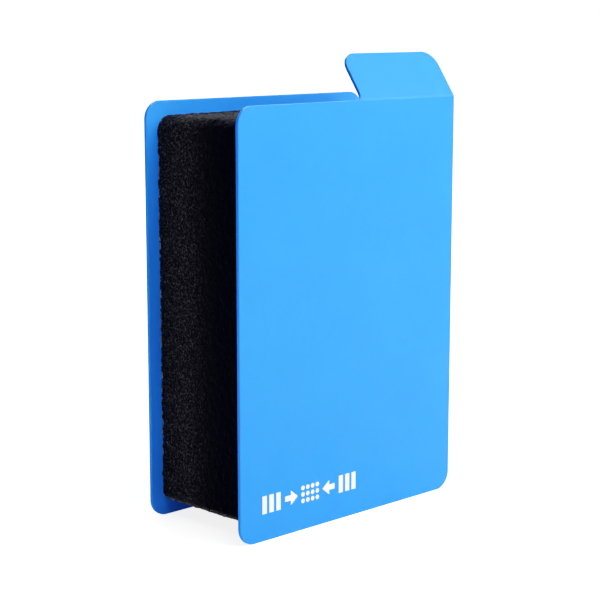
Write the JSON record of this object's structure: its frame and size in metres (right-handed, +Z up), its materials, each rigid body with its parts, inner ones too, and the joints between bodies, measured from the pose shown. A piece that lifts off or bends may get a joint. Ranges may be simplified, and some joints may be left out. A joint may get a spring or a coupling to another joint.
{
  "type": "compressible card spacer",
  "caption": "Foam block glued between two thin plastic sheets, with a creased pull tab at one top corner; fills spare room behind a stack of cards in a deck box.",
  "frame": {"origin": "middle of the footprint that both sheets stand on, at the height of their bottom edges", "axes": "+X across the width, towards the side with the pull tab; +Y from the front sheet to the back sheet; +Z up"},
  "size_m": [0.066, 0.03, 0.1018],
  "materials": {
    "blue_sheet": "satin, very fine grain, light blue polypropylene sheet",
    "black_foam": "matte black open-cell polyurethane foam, fine cells",
    "adhesive_film": "clear double-sided adhesive film",
    "white_ink": "matte white screen print"
  },
  "bodies": {
    "back": {"back_panel": "blue_sheet", "back_adhesive": "adhesive_film", "foam_block": "black_foam"},
    "front": {"front_panel": "blue_sheet", "front_adhesive": "adhesive_film"},
    "tab": {"pull_tab": "blue_sheet"}
  },
  "joints": [
    {"name": "foam_compression", "type": "slide", "parent": "back", "child": "front", "axis": [0, 1, 0], "range_m": [0, 0.017], "stiffness_N_per_m": 1200, "deforming": ["foam_block"]},
    {"name": "tab_fold", "type": "hinge", "parent": "front", "child": "tab", "pos_m": [0.01812, -0.01463, 0.09188], "axis": [-1, 0, 0], "range_deg": [-35, 45], "stiffness_Nm_per_rad": 0.02}
  ]
}
